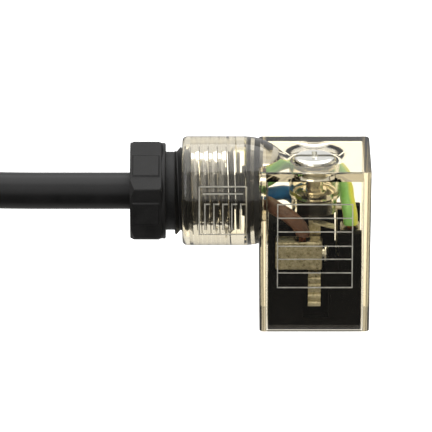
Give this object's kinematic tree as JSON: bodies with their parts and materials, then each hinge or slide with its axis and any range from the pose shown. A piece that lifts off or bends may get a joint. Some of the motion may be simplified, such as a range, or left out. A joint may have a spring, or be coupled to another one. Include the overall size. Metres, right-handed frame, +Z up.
{
  "type": "solenoid valve plug connector",
  "caption": "Right-angle cable plug for a solenoid valve coil: clear housing, threaded cable gland, contact insert, central fixing screw and a stripped-end cable.",
  "frame": {"origin": "middle of the plug's footprint (housing, barrel and gland nut, without the cable), in the plane of the face that meets the coil", "axes": "+Z up from the coil along the fixing screw, -X the way the cable leaves, -Y the side with the long terminal block nearest the gland"},
  "size_m": [0.1508, 0.0539, 0.0266],
  "materials": {
    "clear_housing": "clear polycarbonate, faintly straw-coloured at its edges",
    "black_plastic": "black glass-filled nylon, fine moulded grain, satin",
    "black_rubber": "black rubber, dull",
    "cable_sheath": "black PVC cable sheath, soft satin",
    "nickel": "dull nickel plating on brass",
    "bright_nickel": "bright nickel-plated steel",
    "copper": "bare stranded copper",
    "tinned": "tinned copper",
    "core_brown": "brown PVC insulation",
    "core_blue": "blue PVC insulation",
    "core_green_yellow": "green PVC insulation with a yellow stripe"
  },
  "bodies": {
    "plug": {"housing_shell": "clear_housing", "contact_carrier": "black_plastic", "cable_sheath_end": "cable_sheath", "sealing_grommet": "black_rubber", "cable_run": "cable_sheath", "cable_hank": "cable_sheath", "hank_tie": "black_rubber", "contact_front": "nickel", "terminal_block_front": "nickel", "contact_rear": "nickel", "terminal_block_rear": "nickel", "contact_earth": "nickel", "terminal_block_earth": "nickel", "core_brown": "core_brown", "strand_brown": "copper", "tail_brown": "core_brown", "ferrule_brown": "tinned", "core_blue": "core_blue", "strand_blue": "copper", "tail_blue": "core_blue", "ferrule_blue": "tinned", "core_green_yellow": "core_green_yellow", "strand_green_yellow": "copper", "tail_green_yellow": "core_green_yellow", "ferrule_green_yellow": "tinned"},
    "thrust_washer": {"thrust_washer": "black_plastic"},
    "gland_nut": {"gland_nut": "black_plastic"},
    "screw_washer": {"screw_washer": "bright_nickel"},
    "fixing_screw": {"fixing_screw": "bright_nickel"},
    "clamp_pad_front": {"clamp_pad_front": "tinned"},
    "terminal_screw_front": {"terminal_screw_front": "bright_nickel"},
    "clamp_pad_rear": {"clamp_pad_rear": "tinned"},
    "terminal_screw_rear": {"terminal_screw_rear": "bright_nickel"},
    "clamp_pad_earth": {"clamp_pad_earth": "tinned"},
    "terminal_screw_earth": {"terminal_screw_earth": "bright_nickel"}
  },
  "joints": [
    {"name": "gland_travel", "type": "slide", "parent": "plug", "child": "thrust_washer", "axis": [-1, 0, 0], "range_m": [0, 0.00508]},
    {"name": "gland_turn", "type": "hinge", "parent": "thrust_washer", "child": "gland_nut", "pos_m": [-0.012, 0, 0.0188], "axis": [-1, 0, 0], "range_deg": [0, 1440]},
    {"name": "screw_travel", "type": "slide", "parent": "plug", "child": "screw_washer", "axis": [0, 0, 1], "range_m": [-0.002, 0.001]},
    {"name": "screw_turn", "type": "hinge", "parent": "screw_washer", "child": "fixing_screw", "pos_m": [0.00912, 0, 0.02], "axis": [0, 0, 1], "range_deg": [-1440, 720]},
    {"name": "pad_front_travel", "type": "slide", "parent": "plug", "child": "clamp_pad_front", "axis": [1, 0, 0], "range_m": [0, 0.0008]},
    {"name": "clamp_front_turn", "type": "hinge", "parent": "clamp_pad_front", "child": "terminal_screw_front", "pos_m": [0.00912, -0.0047, 0.01125], "axis": [1, 0, 0], "range_deg": [0, 720]},
    {"name": "pad_rear_travel", "type": "slide", "parent": "plug", "child": "clamp_pad_rear", "axis": [1, 0, 0], "range_m": [0, 0.0008]},
    {"name": "clamp_rear_turn", "type": "hinge", "parent": "clamp_pad_rear", "child": "terminal_screw_rear", "pos_m": [0.00912, 0.0047, 0.01125], "axis": [1, 0, 0], "range_deg": [0, 720]},
    {"name": "pad_earth_travel", "type": "slide", "parent": "plug", "child": "clamp_pad_earth", "axis": [0, 1, 0], "range_m": [0, 0.0008]},
    {"name": "clamp_earth_turn", "type": "hinge", "parent": "clamp_pad_earth", "child": "terminal_screw_earth", "pos_m": [0.01432, 0.0014, 0.01125], "axis": [0, 1, 0], "range_deg": [0, 720]}
  ],
  "couplings": [
    {"joint": "gland_turn", "follows": "gland_travel", "rad_per_m": 4947.4},
    {"joint": "screw_turn", "follows": "screw_travel", "rad_per_m": 12566},
    {"joint": "clamp_front_turn", "follows": "pad_front_travel", "rad_per_m": 15708},
    {"joint": "clamp_rear_turn", "follows": "pad_rear_travel", "rad_per_m": 15708},
    {"joint": "clamp_earth_turn", "follows": "pad_earth_travel", "rad_per_m": 15708}
  ]
}
